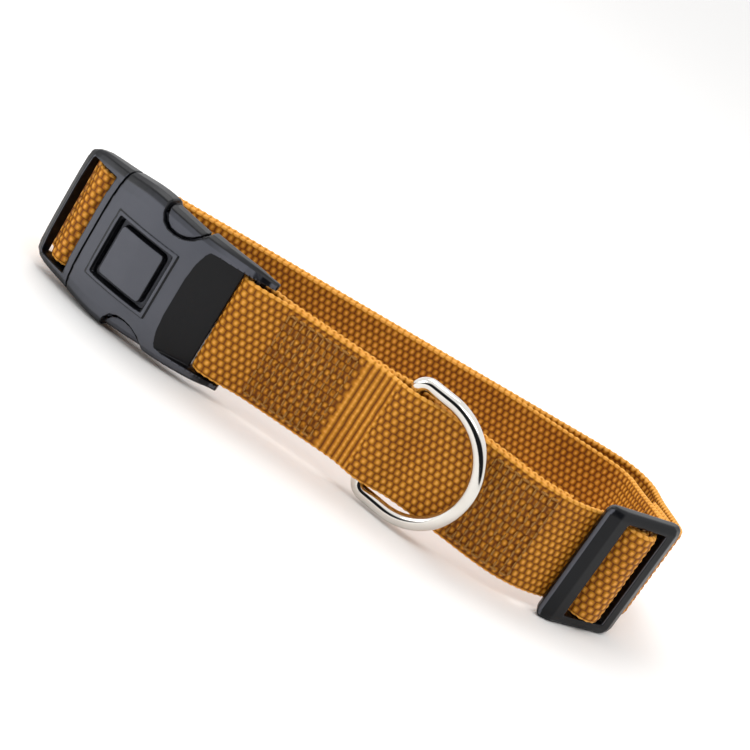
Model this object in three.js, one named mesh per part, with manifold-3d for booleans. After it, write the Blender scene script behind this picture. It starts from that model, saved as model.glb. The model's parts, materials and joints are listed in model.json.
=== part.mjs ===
// A pet collar: a loop of flat webbing with a curved side-release buckle, a D-ring and a slider.
// Lengths are in millimetres. The collar stands on its lower edges, +Z up, with its front run
// along +X and the inside of the loop towards +Y.
import * as THREE from "three";
import Module from "manifold-3d";

const wasm = await Module();
wasm.setup();

const DEG = Math.PI / 180;

// ---- Named sizes ----
const web_width = 25;
const web_thick = 1.6;
const gap = 0.3;
const web_edge = 0.3;

const buckle_length = 54;
const buckle_half_width = 17.2;
const buckle_half_thick = 5.2;
const buckle_radius = 88;
const frame_length = 12.4;
const ear_overhang = 4;
const bar_radius = 1.4;
const slot_margin = 0.6;
const socket_slot = 0.6;
const ramp_length = 9.6;
const ramp_foot = 0.9;
const plug_bar_at = 6.6;
const plug_bar_out = 0.9;
const plug_end_bar = 2.2;
const plug_cross_wall = 1.8;
const panel_size = 15;
const panel_rim = 0.9;
const panel_rim_height = 0.35;
const panel_groove = 1;
const panel_depth = 0.75;
const scallop_length = 12.4;
const scallop_depth = 5.6;
const pad_inset = 0.8;
const pad_gap = 0.45;
const shell_wall = 2;

const ring_wire = 3.4;
const ring_side_room = 0.7;
const ring_arm = 8.5;
const ring_corner = 3;
const ring_from_bar = 41.5;
const ring_spread = 8;

const tail_length = 84;
const slider_past_tail = 6;
const slider_left_bar = 6.2;
const slider_window = 12.4;
const slider_right_bar = 4.8;
const slider_side_bar = 2.7;
const slider_thick = 3.8;
const slider_edge_radius = 1.2;
const slider_bar_radius = 1.2;
const slider_bar_drop = 1.2;
const slider_tail = 24;

const front_heading = 2;
const front_turn = -4;
const front_end_turn = 44;
const front_end_bend = 24;
const slider_end_turn = 64;
const back_lean = 12;
const near_bend = 8.5;
const far_bend = 10;
const right_side = 23;
const left_bend = 4.8;
const left_lean = 8;
const plug_tuck = 1.7;
const tuck_reach = 15;
const inner_dip = 4.2;
const run_step = 2.4;

// ---- Sizes that follow ----
const half_web = web_width / 2;
const pitch = web_thick + gap;
const layer = pitch / 2;
const wrap_radius = bar_radius + gap + web_thick / 2;
const slider_from_bar = tail_length + slider_past_tail;
const slider_length = slider_left_bar + slider_window + slider_right_bar;
const slider_half_width = half_web + slot_margin + slider_side_bar;
const window_half = half_web + slot_margin;
const ring_radius = ring_wire / 2;
const ring_half = half_web + ring_side_room + ring_radius;
const buckle_start = ear_overhang - buckle_length;
const plug_bar_s = buckle_start + plug_bar_at;
const front_rise = buckle_half_width - half_web;
const slider_rise = slider_half_width - half_web;

// ---- The plan line of the loop, from the socket's bar round to it again ----
// Each row goes on from the one before: its length and the angle it turns to the left.
function planRows(back, side) {
  const reach = slider_from_bar - ring_from_bar;
  const last = (front_end_bend * front_end_turn) * DEG;
  const far_turn = 180 + back_lean - front_heading - front_turn - front_end_turn - slider_end_turn;
  const buckle_turn = (buckle_length - ear_overhang) / buckle_radius / DEG;
  const left_turn = 90 - left_lean - back_lean;
  const plug_turn = 90 + left_lean + front_heading - buckle_turn;
  return [
    { name: "from the buckle", length: ring_from_bar, turn: front_turn },
    { name: "past the ring", length: reach - last, turn: 0 },
    { name: "to the slider", length: last, turn: front_end_turn },
    { name: "slider", length: slider_length, turn: 0 },
    { name: "behind the slider", length: near_bend * slider_end_turn * DEG, turn: slider_end_turn },
    { name: "right side", length: right_side, turn: 0 },
    { name: "far bend", length: far_bend * far_turn * DEG * 0.85, turn: far_turn * 0.85 },
    { name: "far bend closes", length: far_bend * 0.8, turn: far_turn * 0.15 },
    { name: "back run", length: back, turn: 0 },
    { name: "left bend", length: left_bend * left_turn * DEG, turn: left_turn },
    { name: "left side", length: side, turn: 0 },
    { name: "to the plug", length: left_bend * plug_turn * DEG, turn: plug_turn },
    { name: "buckle", length: buckle_length - ear_overhang, turn: buckle_turn },
  ];
}

function walk(rows) {
  let s = 0;
  let x = 0;
  let y = 0;
  let heading = front_heading * DEG;
  const legs = [];
  for (const row of rows) {
    const bend = row.length > 0 ? (row.turn * DEG) / row.length : 0;
    legs.push({ s, x, y, heading, length: row.length, bend, name: row.name });
    const end = along(legs[legs.length - 1], row.length);
    s += row.length;
    x = end.x;
    y = end.y;
    heading = end.heading;
  }
  return { legs, total: s, x, y };
}

function along(leg, d) {
  if (Math.abs(leg.bend) < 1e-9) {
    return {
      x: leg.x + d * Math.cos(leg.heading),
      y: leg.y + d * Math.sin(leg.heading),
      heading: leg.heading,
    };
  }
  const heading = leg.heading + leg.bend * d;
  return {
    x: leg.x + (Math.sin(heading) - Math.sin(leg.heading)) / leg.bend,
    y: leg.y - (Math.cos(heading) - Math.cos(leg.heading)) / leg.bend,
    heading,
  };
}

// The back run and the left side take the lengths that bring the line back to its start.
function closedPlan() {
  const open = walk(planRows(0, 0));
  const back = open.legs.find((leg) => leg.name === "back run").heading;
  const side = open.legs.find((leg) => leg.name === "left side").heading;
  const det = Math.cos(back) * Math.sin(side) - Math.sin(back) * Math.cos(side);
  const a = (-open.x * Math.sin(side) + open.y * Math.cos(side)) / det;
  const b = (-open.y * Math.cos(back) + open.x * Math.sin(back)) / det;
  return walk(planRows(a, b));
}

const plan = closedPlan();
const loop_length = plan.total;

function legAt(s) {
  const t = ((s % loop_length) + loop_length) % loop_length;
  const leg = plan.legs.find((row) => t >= row.s && t <= row.s + row.length) ?? plan.legs[0];
  return along(leg, t - leg.s);
}

// ---- Smooth tables ----
function smooth(rows, column, x) {
  if (x <= rows[0].at) {
    return rows[0][column];
  }
  const last = rows[rows.length - 1];
  if (x >= last.at) {
    return last[column];
  }
  const i = rows.findIndex((row, k) => k < rows.length - 1 && x <= rows[k + 1].at);
  const a = rows[i];
  const b = rows[i + 1];
  const slope = (k) => {
    const p = rows[Math.max(k - 1, 0)];
    const q = rows[Math.min(k + 1, rows.length - 1)];
    return k === 0 || k === rows.length - 1 ? 0 : (q[column] - p[column]) / (q.at - p.at);
  };
  const h = b.at - a.at;
  const t = (x - a.at) / h;
  const h01 = t * t * (3 - 2 * t);
  return a[column] * (1 - h01) + b[column] * h01
    + slope(i) * h * t * (1 - t) * (1 - t) - slope(i + 1) * h * t * t * (1 - t);
}

// ---- Height of the webbing's middle: the front is raised by what the buckle is wider ----
const slider_end = slider_from_bar + slider_length;
const heights = [
  { at: 0, rise: front_rise },
  { at: ring_from_bar + ring_arm, rise: front_rise },
  { at: slider_from_bar - gap, rise: slider_rise },
  { at: slider_end + gap, rise: slider_rise },
  { at: slider_end + right_side * 1.6, rise: 0 },
  { at: loop_length + buckle_start - left_bend * 5, rise: 0 },
  { at: loop_length + buckle_start, rise: front_rise },
];

function middle(s) {
  const t = ((s % loop_length) + loop_length) % loop_length;
  const rows = heights;
  const i = rows.findIndex((row, k) => k < rows.length - 1 && t <= rows[k + 1].at);
  if (i < 0) {
    return half_web + front_rise;
  }
  const u = (t - rows[i].at) / (rows[i + 1].at - rows[i].at);
  return half_web + rows[i].rise + (rows[i + 1].rise - rows[i].rise) * u * u * (3 - 2 * u);
}

// A place at s along the line, n outside it and z above the middle of the webbing.
function place(s, n, z) {
  const p = legAt(s);
  return [p.x + n * Math.sin(p.heading), p.y - n * Math.cos(p.heading), middle(s) + z];
}

// ---- Solids from rings of points ----
function lofted(rings, shut = false) {
  const count = rings[0].length;
  const points = rings.flat();
  const faces = [];
  const last = shut ? rings.length : rings.length - 1;
  for (let i = 0; i < last; i += 1) {
    const a = i * count;
    const b = ((i + 1) % rings.length) * count;
    for (let j = 0; j < count; j += 1) {
      const k = (j + 1) % count;
      faces.push([a + j, b + j, b + k], [a + j, b + k, a + k]);
    }
  }
  if (!shut) {
    const end = (rings.length - 1) * count;
    for (let j = 1; j < count - 1; j += 1) {
      faces.push([0, j, j + 1], [end, end + j + 1, end + j]);
    }
  }
  return outward({ points, faces });
}

function outward(body) {
  let volume = 0;
  for (const [a, b, c] of body.faces) {
    const p = body.points[a];
    const q = body.points[b];
    const r = body.points[c];
    volume += p[0] * (q[1] * r[2] - q[2] * r[1])
      - p[1] * (q[0] * r[2] - q[2] * r[0])
      + p[2] * (q[0] * r[1] - q[1] * r[0]);
  }
  if (volume < 0) {
    body.faces.forEach((face) => face.reverse());
  }
  return body;
}

function solid(body) {
  return new wasm.Manifold(new wasm.Mesh({
    numProp: 3,
    vertProperties: new Float32Array(body.points.flat()),
    triVerts: new Uint32Array(body.faces.flat()),
  }));
}

function between(from, to, step) {
  const count = Math.max(1, Math.ceil(Math.abs(to - from) / step));
  return Array.from({ length: count + 1 }, (_, i) => from + ((to - from) * i) / count);
}

// A block along the line, bent with it.
function block(s0, s1, n0, n1, z0, z1) {
  return solid(lofted(between(s0, s1, 3).map((s) => [
    place(s, n0, z0),
    place(s, n1, z0),
    place(s, n1, z1),
    place(s, n0, z1),
  ])));
}

// A round bar along the webbing's width.
function crossbar(s, n, radius, half, sides = 12) {
  return solid(lofted([-half, half].map((z) => Array.from({ length: sides }, (_, i) => {
    const a = (i / sides) * 2 * Math.PI;
    return place(s + radius * Math.cos(a), n + radius * Math.sin(a), z);
  }))));
}

// A pillowed body along the line. Its rows give half width and the two faces.
function pillow(rows, from, to, inset = 0, sides = 24, sharp = 3.4) {
  return solid(lofted(between(from, to, 2).map((b) => {
    const half = smooth(rows, "half", b) * buckle_half_width - inset;
    const low = smooth(rows, "low", b) * buckle_half_thick + inset;
    const high = smooth(rows, "high", b) * buckle_half_thick - inset;
    return Array.from({ length: sides }, (_, i) => {
      const a = ((i + 0.5) / sides) * 2 * Math.PI;
      const c = Math.cos(a);
      const d = Math.sin(a);
      const z = Math.sign(c) * Math.abs(c) ** (2 / sharp) * half;
      const n = (high + low) / 2 + Math.sign(d) * Math.abs(d) ** (2 / sharp) * ((high - low) / 2);
      return place(buckle_start + b, n, z);
    });
  })));
}

// ---- Strap ----
function arc(cs, cn, radius, from, to, sweep = 20) {
  return between(from, to, sweep).map((a) => [
    cs + radius * Math.cos(a * DEG),
    cn + radius * Math.sin(a * DEG),
  ]);
}

function swell(s) {
  const d = Math.abs(s - ring_from_bar) / ring_spread;
  const at_ring = d < 1 ? (ring_radius + gap / 2) * Math.cos((d * Math.PI) / 2) ** 2 : 0;
  const e = Math.abs(s) / (ring_spread * 1.3);
  const at_bar = e < 1 ? (bar_radius + gap / 2) * (0.5 + 0.5 * Math.cos(e * Math.PI)) : 0;
  return at_ring + at_bar;
}

const slider_window_half = slider_window / 2;
const slider_mid_s = slider_from_bar + slider_left_bar + slider_window_half;
const guard_reach = slider_window_half + slider_edge_radius;
const guard_radius = slider_edge_radius + gap + web_thick / 2;
const guard_drop = slider_thick / 2 - slider_edge_radius;
const slider_out = layer + guard_radius + guard_drop;
const loop_radius = slider_bar_radius + gap + web_thick / 2;
const slider_mid_n = slider_out - slider_bar_drop;
const guard_n = slider_out - guard_drop;

function tangents() {
  const rise = guard_n - slider_mid_n;
  const d = Math.hypot(guard_reach, rise);
  const lean = Math.asin(Math.min(1, (loop_radius + pitch + guard_radius) / d)) / DEG;
  const tilt = Math.atan2(rise, guard_reach) / DEG;
  const under = Math.asin(Math.min(1, (guard_radius + 2 * pitch - loop_radius) / d)) / DEG;
  return { up: lean - tilt, down: tilt - lean, low: tilt - under };
}

function strapLine() {
  const turn = tangents();
  const left_guard = slider_mid_s - guard_reach;
  const right_guard = slider_mid_s + guard_reach;
  const plug_s = loop_length + plug_bar_s;
  const plug_enter = loop_length + buckle_start + plug_end_bar;
  const corner = plan.legs.find((leg) => leg.name === "far bend").s + far_bend * 0.65;
  const inner_rows = [
    { at: right_guard, dip: 0, spare: pitch },
    { at: right_guard + near_bend, dip: inner_dip * 0.2, spare: pitch },
    { at: corner - far_bend * 1.4, dip: inner_dip * 0.64, spare: pitch },
    { at: corner, dip: inner_dip, spare: pitch },
    { at: corner + far_bend * 1.3, dip: inner_dip * 0.7, spare: pitch },
    { at: corner + far_bend * 2.8, dip: inner_dip * 0.26, spare: pitch * 0.5 },
    { at: corner + far_bend * 4.4, dip: 0, spare: 0 },
  ];
  const inner = (s) => layer - pitch - smooth(inner_rows, "spare", s)
    - smooth(inner_rows, "dip", s);
  const free_end = (s) => layer - pitch - smooth(inner_rows, "dip", s) * 0.88;
  const tuck_rows = [
    { at: plug_enter - tuck_reach, tuck: 0 },
    { at: plug_enter - tuck_reach / 2, tuck: plug_tuck * 0.9 },
    { at: plug_enter - 1, tuck: plug_tuck },
  ];
  const tuck = (s) => smooth(tuck_rows, "tuck", s);
  const front = between(tail_length, gap, 2.6);
  const run = between(right_guard + 3, plug_enter - 2.5, run_step);
  const line = [
    ...front.map((s) => [s, -layer - swell(s)]),
    ...arc(0, 0, wrap_radius, -100, -260),
    ...front.slice().reverse().map((s) => [s, layer + swell(s)]),
    ...between(tail_length + 2, left_guard - 1, 2.6).map((s) => [s, layer]),
    ...arc(left_guard, guard_n, guard_radius, -90, turn.up - 90),
    ...arc(slider_mid_s, slider_mid_n, loop_radius + pitch, turn.up + 90, turn.down + 90),
    ...arc(right_guard, guard_n, guard_radius, turn.down - 90, -90),
    ...run.map((s) => [s, layer - tuck(s)]),
    [plug_enter, layer - plug_tuck],
    [plug_enter + (plug_s - plug_enter) * 0.42, layer + (wrap_radius + plug_bar_out - layer) * 0.6],
    ...arc(plug_s, plug_bar_out, wrap_radius, 110, -110),
    [plug_enter, -layer - plug_tuck],
    ...run.slice().reverse().map((s) => [s, inner(s) - tuck(s)]),
    ...arc(right_guard, guard_n, guard_radius + 2 * pitch, -90, turn.low - 90),
    ...arc(slider_mid_s, slider_mid_n, loop_radius, turn.low - 90, turn.down - 270),
    ...arc(right_guard, guard_n, guard_radius + pitch, turn.down - 90, -90),
    ...between(right_guard + 2, right_guard + slider_tail, 3).map((s) => [s, free_end(s)]),
  ];
  return line;
}

function strapRings() {
  const line = strapLine();
  const dots = line.map(([s, n]) => place(s, n, 0));
  const half = web_thick / 2;
  const section = [
    [half, half_web - web_edge],
    [half - web_edge, half_web],
    [web_edge - half, half_web],
    [-half, half_web - web_edge],
    [-half, web_edge - half_web],
    [web_edge - half, -half_web],
    [half - web_edge, -half_web],
    [half, web_edge - half_web],
  ];
  return dots.map((p, i) => {
    const a = dots[Math.max(i - 1, 0)];
    const b = dots[Math.min(i + 1, dots.length - 1)];
    const u = unit(p[0] - a[0], p[1] - a[1]) ?? unit(b[0] - p[0], b[1] - p[1]);
    const v = unit(b[0] - p[0], b[1] - p[1]) ?? u;
    const t = unit(u[0] + v[0], u[1] + v[1]);
    const mitre = 1 / (t[0] * u[0] + t[1] * u[1]);
    return section.map(([w, z]) => [
      p[0] + t[1] * w * mitre,
      p[1] - t[0] * w * mitre,
      p[2] + z,
    ]);
  });
}

function unit(x, y) {
  const d = Math.hypot(x, y);
  return d < 1e-6 ? null : [x / d, y / d];
}

// ---- Buckle ----
// Rows run from the plug's outer bar (0) to the tips of the socket's ears (1), with the half
// width and the inner and outer face as shares of the buckle's greatest.
const buckle_rows = [
  { at: 0, half: 0.8, low: 0.3, high: 0.8 },
  { at: 0.02, half: 0.85, low: 0.05, high: 0.92 },
  { at: 0.06, half: 0.895, low: -0.25, high: 1 },
  { at: 0.22, half: 0.945, low: -0.72, high: 1.08 },
  { at: 0.37, half: 1, low: -0.85, high: 1.15 },
  { at: 0.5, half: 0.985, low: -0.88, high: 1.17 },
  { at: 0.66, half: 0.94, low: -0.82, high: 1.1 },
  { at: 0.76, half: 0.925, low: -0.62, high: 0.95 },
  { at: 0.9, half: 0.895, low: -0.46, high: 0.68 },
  { at: 1, half: 0.855, low: -0.3, high: 0.4 },
].map((row) => ({ ...row, at: row.at * buckle_length }));

// The outline of each side's scallop: along it, and how deep it is.
const scallop_rows = [
  { along: 0, depth: -0.6 },
  { along: 0.01, depth: 0.2 },
  { along: 0.06, depth: 0.55 },
  { along: 0.15, depth: 0.82 },
  { along: 0.28, depth: 0.97 },
  { along: 0.44, depth: 1 },
  { along: 0.62, depth: 0.93 },
  { along: 0.78, depth: 0.72 },
  { along: 0.91, depth: 0.36 },
  { along: 1, depth: -0.1 },
  { along: 1.08, depth: -0.6 },
];

const body_start = frame_length + gap;
const fold_at = buckle_length - ear_overhang - wrap_radius - web_thick / 2;
const body_end = fold_at - socket_slot;
const ridge_at = body_end - ramp_length;
const panel_mid = body_start + (ridge_at - body_start) * 0.5;
const scallop_start = panel_mid - panel_size / 2 + panel_size * 0.47;
const arm_end = scallop_start + scallop_length * 0.96;
const deep = buckle_half_thick * 3;

function inside(b) {
  return buckle_start + b;
}

// A prism through the thickness, from rows of places along the buckle and across it.
function prismThrough(rows, n0, n1) {
  return solid(lofted([n0, n1].map((n) => rows.map(([b, z]) => place(inside(b), n, z)))));
}

// A prism across the width, from rows of places along the buckle and out of it.
function prismAcross(rows, half) {
  return solid(lofted([-half, half].map((z) => rows.map(([b, n]) => place(inside(b), n, z)))));
}

function scallop(side, room) {
  const middle_depth = (scallop_rows[0].depth + 1) / 2;
  const rows = scallop_rows.map(({ along: a, depth }) => {
    const length = scallop_length - 2 * room;
    const drop = depth * scallop_depth - (depth > middle_depth ? room : 0);
    return [scallop_start + room + a * length, side * (buckle_half_width - drop)];
  });
  return prismThrough(rows, -deep, deep);
}

function armSpace(room) {
  const wide = buckle_half_width - shell_wall - 1 + room;
  return block(
    inside(frame_length - 1),
    inside(arm_end + room),
    -buckle_half_thick * 0.42 - room,
    buckle_half_thick * 0.62 + room,
    -wide,
    wide,
  );
}

function panelFrame(outer, width, from, to) {
  const inner_half = outer - width;
  const ring = block(inside(panel_mid - outer), inside(panel_mid + outer), from, to, -outer, outer);
  return ring.subtract(block(
    inside(panel_mid - inner_half),
    inside(panel_mid + inner_half),
    from - 1,
    to + 1,
    -inner_half,
    inner_half,
  ));
}

function socket() {
  const top = smooth(buckle_rows, "high", panel_mid) * buckle_half_thick;
  const ramp_top = smooth(buckle_rows, "high", ridge_at) * buckle_half_thick;
  let body = pillow(buckle_rows, body_start, buckle_length);
  const rim = panelFrame(panel_size / 2 + panel_rim, panel_rim, 0, deep)
    .intersect(pillow(buckle_rows, body_start + 1, ridge_at + 1, -panel_rim_height));
  body = body.add(rim);
  body = body.subtract(panelFrame(panel_size / 2, panel_groove, top - panel_depth, deep));
  body = body.subtract(block(inside(body_end), 30, -deep, deep, -window_half, window_half));
  body = body.subtract(prismAcross([
    [ridge_at, ramp_top],
    [ridge_at + ramp_length * 0.35, ramp_top - (ramp_top - ramp_foot) * 0.45],
    [body_end + 1, ramp_foot - 0.4],
    [body_end + 1, deep],
    [ridge_at - 0.6, deep],
    [ridge_at - 0.6, ramp_top + 1.5],
  ], window_half));
  body = body.subtract(armSpace(gap));
  for (const side of [-1, 1]) {
    body = body.subtract(scallop(side, 0));
  }
  return body.add(crossbar(0, 0, bar_radius, window_half + 1));
}

function plug() {
  let frame = pillow(buckle_rows, 0, frame_length);
  frame = frame.subtract(block(
    inside(plug_end_bar),
    inside(frame_length - plug_cross_wall),
    -deep,
    deep,
    -window_half,
    window_half,
  ));
  frame = frame.subtract(block(
    inside(-1),
    inside(plug_end_bar + 1),
    -deep,
    layer + web_thick / 2 + gap,
    -window_half,
    window_half,
  ));
  frame = frame.add(crossbar(plug_bar_s, plug_bar_out, bar_radius, window_half + 1));
  let arms = armSpace(0);
  arms = arms.subtract(block(
    inside(frame_length + 2),
    inside(buckle_length),
    -deep,
    deep,
    -buckle_half_width * 0.42,
    buckle_half_width * 0.42,
  ));
  frame = frame.add(arms);
  for (const side of [-1, 1]) {
    const pad = pillow(buckle_rows, body_start + 4, body_end, pad_inset)
      .intersect(scallop(side, pad_gap));
    const neck = block(
      inside(scallop_start + scallop_length * 0.3),
      inside(scallop_start + scallop_length * 0.6),
      -buckle_half_thick * 0.42,
      buckle_half_thick * 0.62,
      side * buckle_half_width * 0.6,
      side * (buckle_half_width - scallop_depth + 1),
    );
    frame = frame.add(pad).add(neck);
  }
  return frame;
}

// ---- D-ring ----
const ring_reach_at_edge = ring_arm + Math.sqrt(ring_half ** 2 - half_web ** 2);
const ring_lean = Math.asin((layer + web_thick / 2 + gap + ring_radius) / ring_reach_at_edge);

function ringLine() {
  const c = ring_corner;
  const bend = (cd, cz, radius, from, to, sweep) => between(from, to, sweep)
    .map((a) => [cd + radius * Math.cos(a * DEG), cz + radius * Math.sin(a * DEG)]);
  return [
    ...bend(c, c - ring_half, c, 180, 270, 22.5),
    ...bend(ring_arm, 0, ring_half, -90, 90, 10),
    ...bend(c, ring_half - c, c, 90, 180, 22.5),
  ];
}

function ringRings(sides = 10) {
  const line = ringLine();
  const base = legAt(ring_from_bar);
  const towards = base.heading - ring_lean;
  const dir = [Math.cos(towards), Math.sin(towards)];
  const out = [Math.sin(towards), -Math.cos(towards)];
  return line.map(([d, z], i) => {
    const p = line[(i + line.length - 1) % line.length];
    const q = line[(i + 1) % line.length];
    const u = unit(d - p[0], z - p[1]);
    const v = unit(q[0] - d, q[1] - z);
    const t = unit(u[0] + v[0], u[1] + v[1]);
    const mitre = 1 / (t[0] * u[0] + t[1] * u[1]);
    return Array.from({ length: sides }, (_, k) => {
      const a = ((k + 0.5) / sides) * 2 * Math.PI;
      const side = ring_radius * Math.cos(a) * mitre;
      const lift = ring_radius * Math.sin(a);
      const dd = d + t[1] * side;
      const zz = z - t[0] * side;
      return [
        base.x + dir[0] * dd + out[0] * lift,
        base.y + dir[1] * dd + out[1] * lift,
        middle(ring_from_bar) + zz,
      ];
    });
  });
}

// ---- Slider ----
function slider() {
  const t = slider_thick / 2;
  const e = slider_edge_radius;
  const start = slider_from_bar;
  const end = slider_end;
  const bevel = slider_left_bar * 0.5;
  const ends = [
    { z: -1, draw: 0.42, thin: 0.55 },
    { z: -0.96, draw: 0.15, thin: 0.85 },
    { z: -0.88, draw: 0, thin: 1 },
    { z: 0.88, draw: 0, thin: 1 },
    { z: 0.96, draw: 0.15, thin: 0.85 },
    { z: 1, draw: 0.42, thin: 0.55 },
  ];
  const plate = solid(lofted(ends.map(({ z, draw, thin }) => {
    const s0 = start + draw * bevel;
    const s1 = end - draw * bevel;
    return [
      [s0, -0.2 * t],
      [s0 + e * 0.8, -t],
      [s1 - e * 0.8, -t],
      [s1, -0.2 * t],
      [s1 - 0.3, 0.4 * t],
      [s1 - bevel * 0.8, t],
      [s0 + bevel, t],
      [s0 + 0.3, 0.3 * t],
    ].map(([s, n]) => place(s, slider_out + n * thin, z * slider_half_width));
  })));
  const s0 = slider_mid_s - slider_window_half;
  const s1 = slider_mid_s + slider_window_half;
  const prism = (rows) => solid(lofted([-window_half, window_half].map((z) => rows
    .map(([s, n]) => place(s, slider_out + n, z)))));
  const window = prism([[s0, -t * 2], [s1, -t * 2], [s1, t * 2], [s0, t * 2]]);
  const under = prism([
    [s0 - e, -t * 2],
    [s1 + e, -t * 2],
    [s1 + e, -t],
    [s1, e - t],
    [s0, e - t],
    [s0 - e, -t],
  ]);
  const bar = crossbar(slider_mid_s, slider_mid_n, slider_bar_radius, window_half + 1.4);
  return plate.subtract(window).subtract(under).add(bar);
}

// ---- Nodes ----
const colours = {
  webbing: 0xa86a1e,
  plastic: 0x24262b,
  nickel: 0xc9cbcd,
};

function meshOf(name, points, faces, colour, metal) {
  const geometry = new THREE.BufferGeometry();
  geometry.setAttribute("position", new THREE.Float32BufferAttribute(points, 3));
  geometry.setIndex(faces);
  geometry.computeVertexNormals();
  const material = new THREE.MeshStandardMaterial({
    color: colour,
    metalness: metal ? 1 : 0,
    roughness: metal ? 0.2 : 0.6,
  });
  const mesh = new THREE.Mesh(geometry, material);
  mesh.name = name;
  return mesh;
}

function fromBody(name, body, colour, metal = false) {
  return meshOf(name, body.points.flat(), body.faces.flat(), colour, metal);
}

function fromSolid(name, manifold, colour, metal = false) {
  const mesh = manifold.getMesh();
  return meshOf(name, Array.from(mesh.vertProperties), Array.from(mesh.triVerts), colour, metal);
}

const collar = new THREE.Group();
collar.name = "pet_collar";
collar.add(fromBody("strap", lofted(strapRings()), colours.webbing));
collar.add(fromSolid("buckle_socket", socket(), colours.plastic));
collar.add(fromSolid("buckle_plug", plug(), colours.plastic));
collar.add(fromBody("d_ring", lofted(ringRings(), true), colours.nickel, true));
collar.add(fromSolid("tri_glide", slider(), colours.plastic));

// The origin is the middle of the footprint, on the surface that the collar stands on.
const box = new THREE.Box3().setFromObject(collar);
const centre = box.getCenter(new THREE.Vector3());
for (const mesh of collar.children) {
  mesh.geometry.translate(-centre.x, -centre.y, -box.min.z);
}

export default collar;
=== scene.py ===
# %% [markdown]
# # A webbing pet collar
# The collar is one length of woven nylon webbing. It is folded and sewn at a curved buckle, at
# a D-ring and at a three-bar slider. The solids of the part are loaded first, because every
# piece that is made here has to lie where they lie.

# %% Load the frame and keep its box
import json
import math

import bpy
import numpy as np
from mathutils import Matrix, Vector


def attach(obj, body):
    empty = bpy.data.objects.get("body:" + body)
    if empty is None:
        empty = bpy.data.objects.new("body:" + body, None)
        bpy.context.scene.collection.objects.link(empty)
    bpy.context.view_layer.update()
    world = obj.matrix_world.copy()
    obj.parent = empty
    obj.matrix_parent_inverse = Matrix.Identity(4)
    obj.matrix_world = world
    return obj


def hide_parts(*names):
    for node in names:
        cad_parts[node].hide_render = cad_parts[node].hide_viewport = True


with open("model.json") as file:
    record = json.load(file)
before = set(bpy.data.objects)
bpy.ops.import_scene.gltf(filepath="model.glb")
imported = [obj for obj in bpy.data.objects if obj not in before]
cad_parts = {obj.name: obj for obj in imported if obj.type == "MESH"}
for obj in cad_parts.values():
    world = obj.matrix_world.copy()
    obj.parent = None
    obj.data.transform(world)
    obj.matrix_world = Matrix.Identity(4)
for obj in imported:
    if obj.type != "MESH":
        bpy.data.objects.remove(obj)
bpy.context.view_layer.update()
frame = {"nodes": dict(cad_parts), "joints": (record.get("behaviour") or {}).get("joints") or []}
nodes = frame["nodes"]
MM = 0.001
print("nodes:", sorted(nodes))


# %% Small helpers for the selection
def only(obj):
    """Selects one object alone and makes it the active one."""
    bpy.ops.object.select_all(action="DESELECT")
    obj.select_set(True)
    bpy.context.view_layer.objects.active = obj


def apply_modifier(obj, kind, **settings):
    """Adds a modifier with its settings and applies it."""
    only(obj)
    modifier = obj.modifiers.new(kind.lower(), kind)
    for name, value in settings.items():
        setattr(modifier, name, value)
    bpy.ops.object.modifier_apply(modifier=modifier.name)


# %% [markdown]
# ## The line of the strap
# Seen from above, the strap follows one line round the loop. Its lengths and bends are those of
# the part's source. A place on the collar is then a distance `s` along that line, an offset `n`
# to the outside and a height `z` above the middle of the webbing.

# %% Named sizes in millimetres
WEB_WIDTH = 25.0
WEB_THICK = 1.6
GAP = 0.3
BUCKLE_LENGTH = 54.0
BUCKLE_HALF_WIDTH = 17.2
BUCKLE_RADIUS = 88.0
EAR_OVERHANG = 4.0
BAR_RADIUS = 1.4
SLOT_MARGIN = 0.6
PLUG_BAR_AT = 6.6
PLUG_BAR_OUT = 0.9
PLUG_END_BAR = 2.2
RING_WIRE = 3.4
RING_SIDE_ROOM = 0.7
RING_ARM = 8.5
RING_CORNER = 3.0
RING_AT = 41.5
RING_SPREAD = 8.0
TAIL_LENGTH = 84.0
SLIDER_PAST_TAIL = 6.0
SLIDER_LEFT_BAR = 6.2
SLIDER_WINDOW = 12.4
SLIDER_RIGHT_BAR = 4.8
SLIDER_SIDE_BAR = 2.7
SLIDER_THICK = 3.8
SLIDER_EDGE = 1.2
SLIDER_BAR_RADIUS = 1.2
SLIDER_BAR_DROP = 1.2
SLIDER_TAIL = 24.0
FRONT_HEADING = 2.0
FRONT_TURN = -4.0
FRONT_END_TURN = 44.0
FRONT_END_BEND = 24.0
SLIDER_END_TURN = 64.0
BACK_LEAN = 12.0
NEAR_BEND = 8.5
FAR_BEND = 10.0
RIGHT_SIDE = 23.0
LEFT_BEND = 4.8
LEFT_LEAN = 8.0
PLUG_TUCK = 1.7
TUCK_REACH = 15.0
FOLD_PLAY = 0.55
INNER_DIP = 4.2

HALF = WEB_WIDTH / 2
PITCH = WEB_THICK + GAP
LAYER = PITCH / 2
WRAP = BAR_RADIUS + GAP + WEB_THICK / 2
SLIDER_AT = TAIL_LENGTH + SLIDER_PAST_TAIL
SLIDER_LENGTH = SLIDER_LEFT_BAR + SLIDER_WINDOW + SLIDER_RIGHT_BAR
SLIDER_END = SLIDER_AT + SLIDER_LENGTH
SLIDER_HALF_WIDTH = HALF + SLOT_MARGIN + SLIDER_SIDE_BAR
BUCKLE_START = EAR_OVERHANG - BUCKLE_LENGTH
FRONT_RISE = BUCKLE_HALF_WIDTH - HALF
SLIDER_RISE = SLIDER_HALF_WIDTH - HALF
print(f"webbing {WEB_WIDTH} x {WEB_THICK} mm, buckle {BUCKLE_LENGTH} mm long")

# %% Legs of the plan line
FAR_TIGHT, FAR_SLACK, FAR_CLOSING = 0.85, 0.15, 0.8


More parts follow.
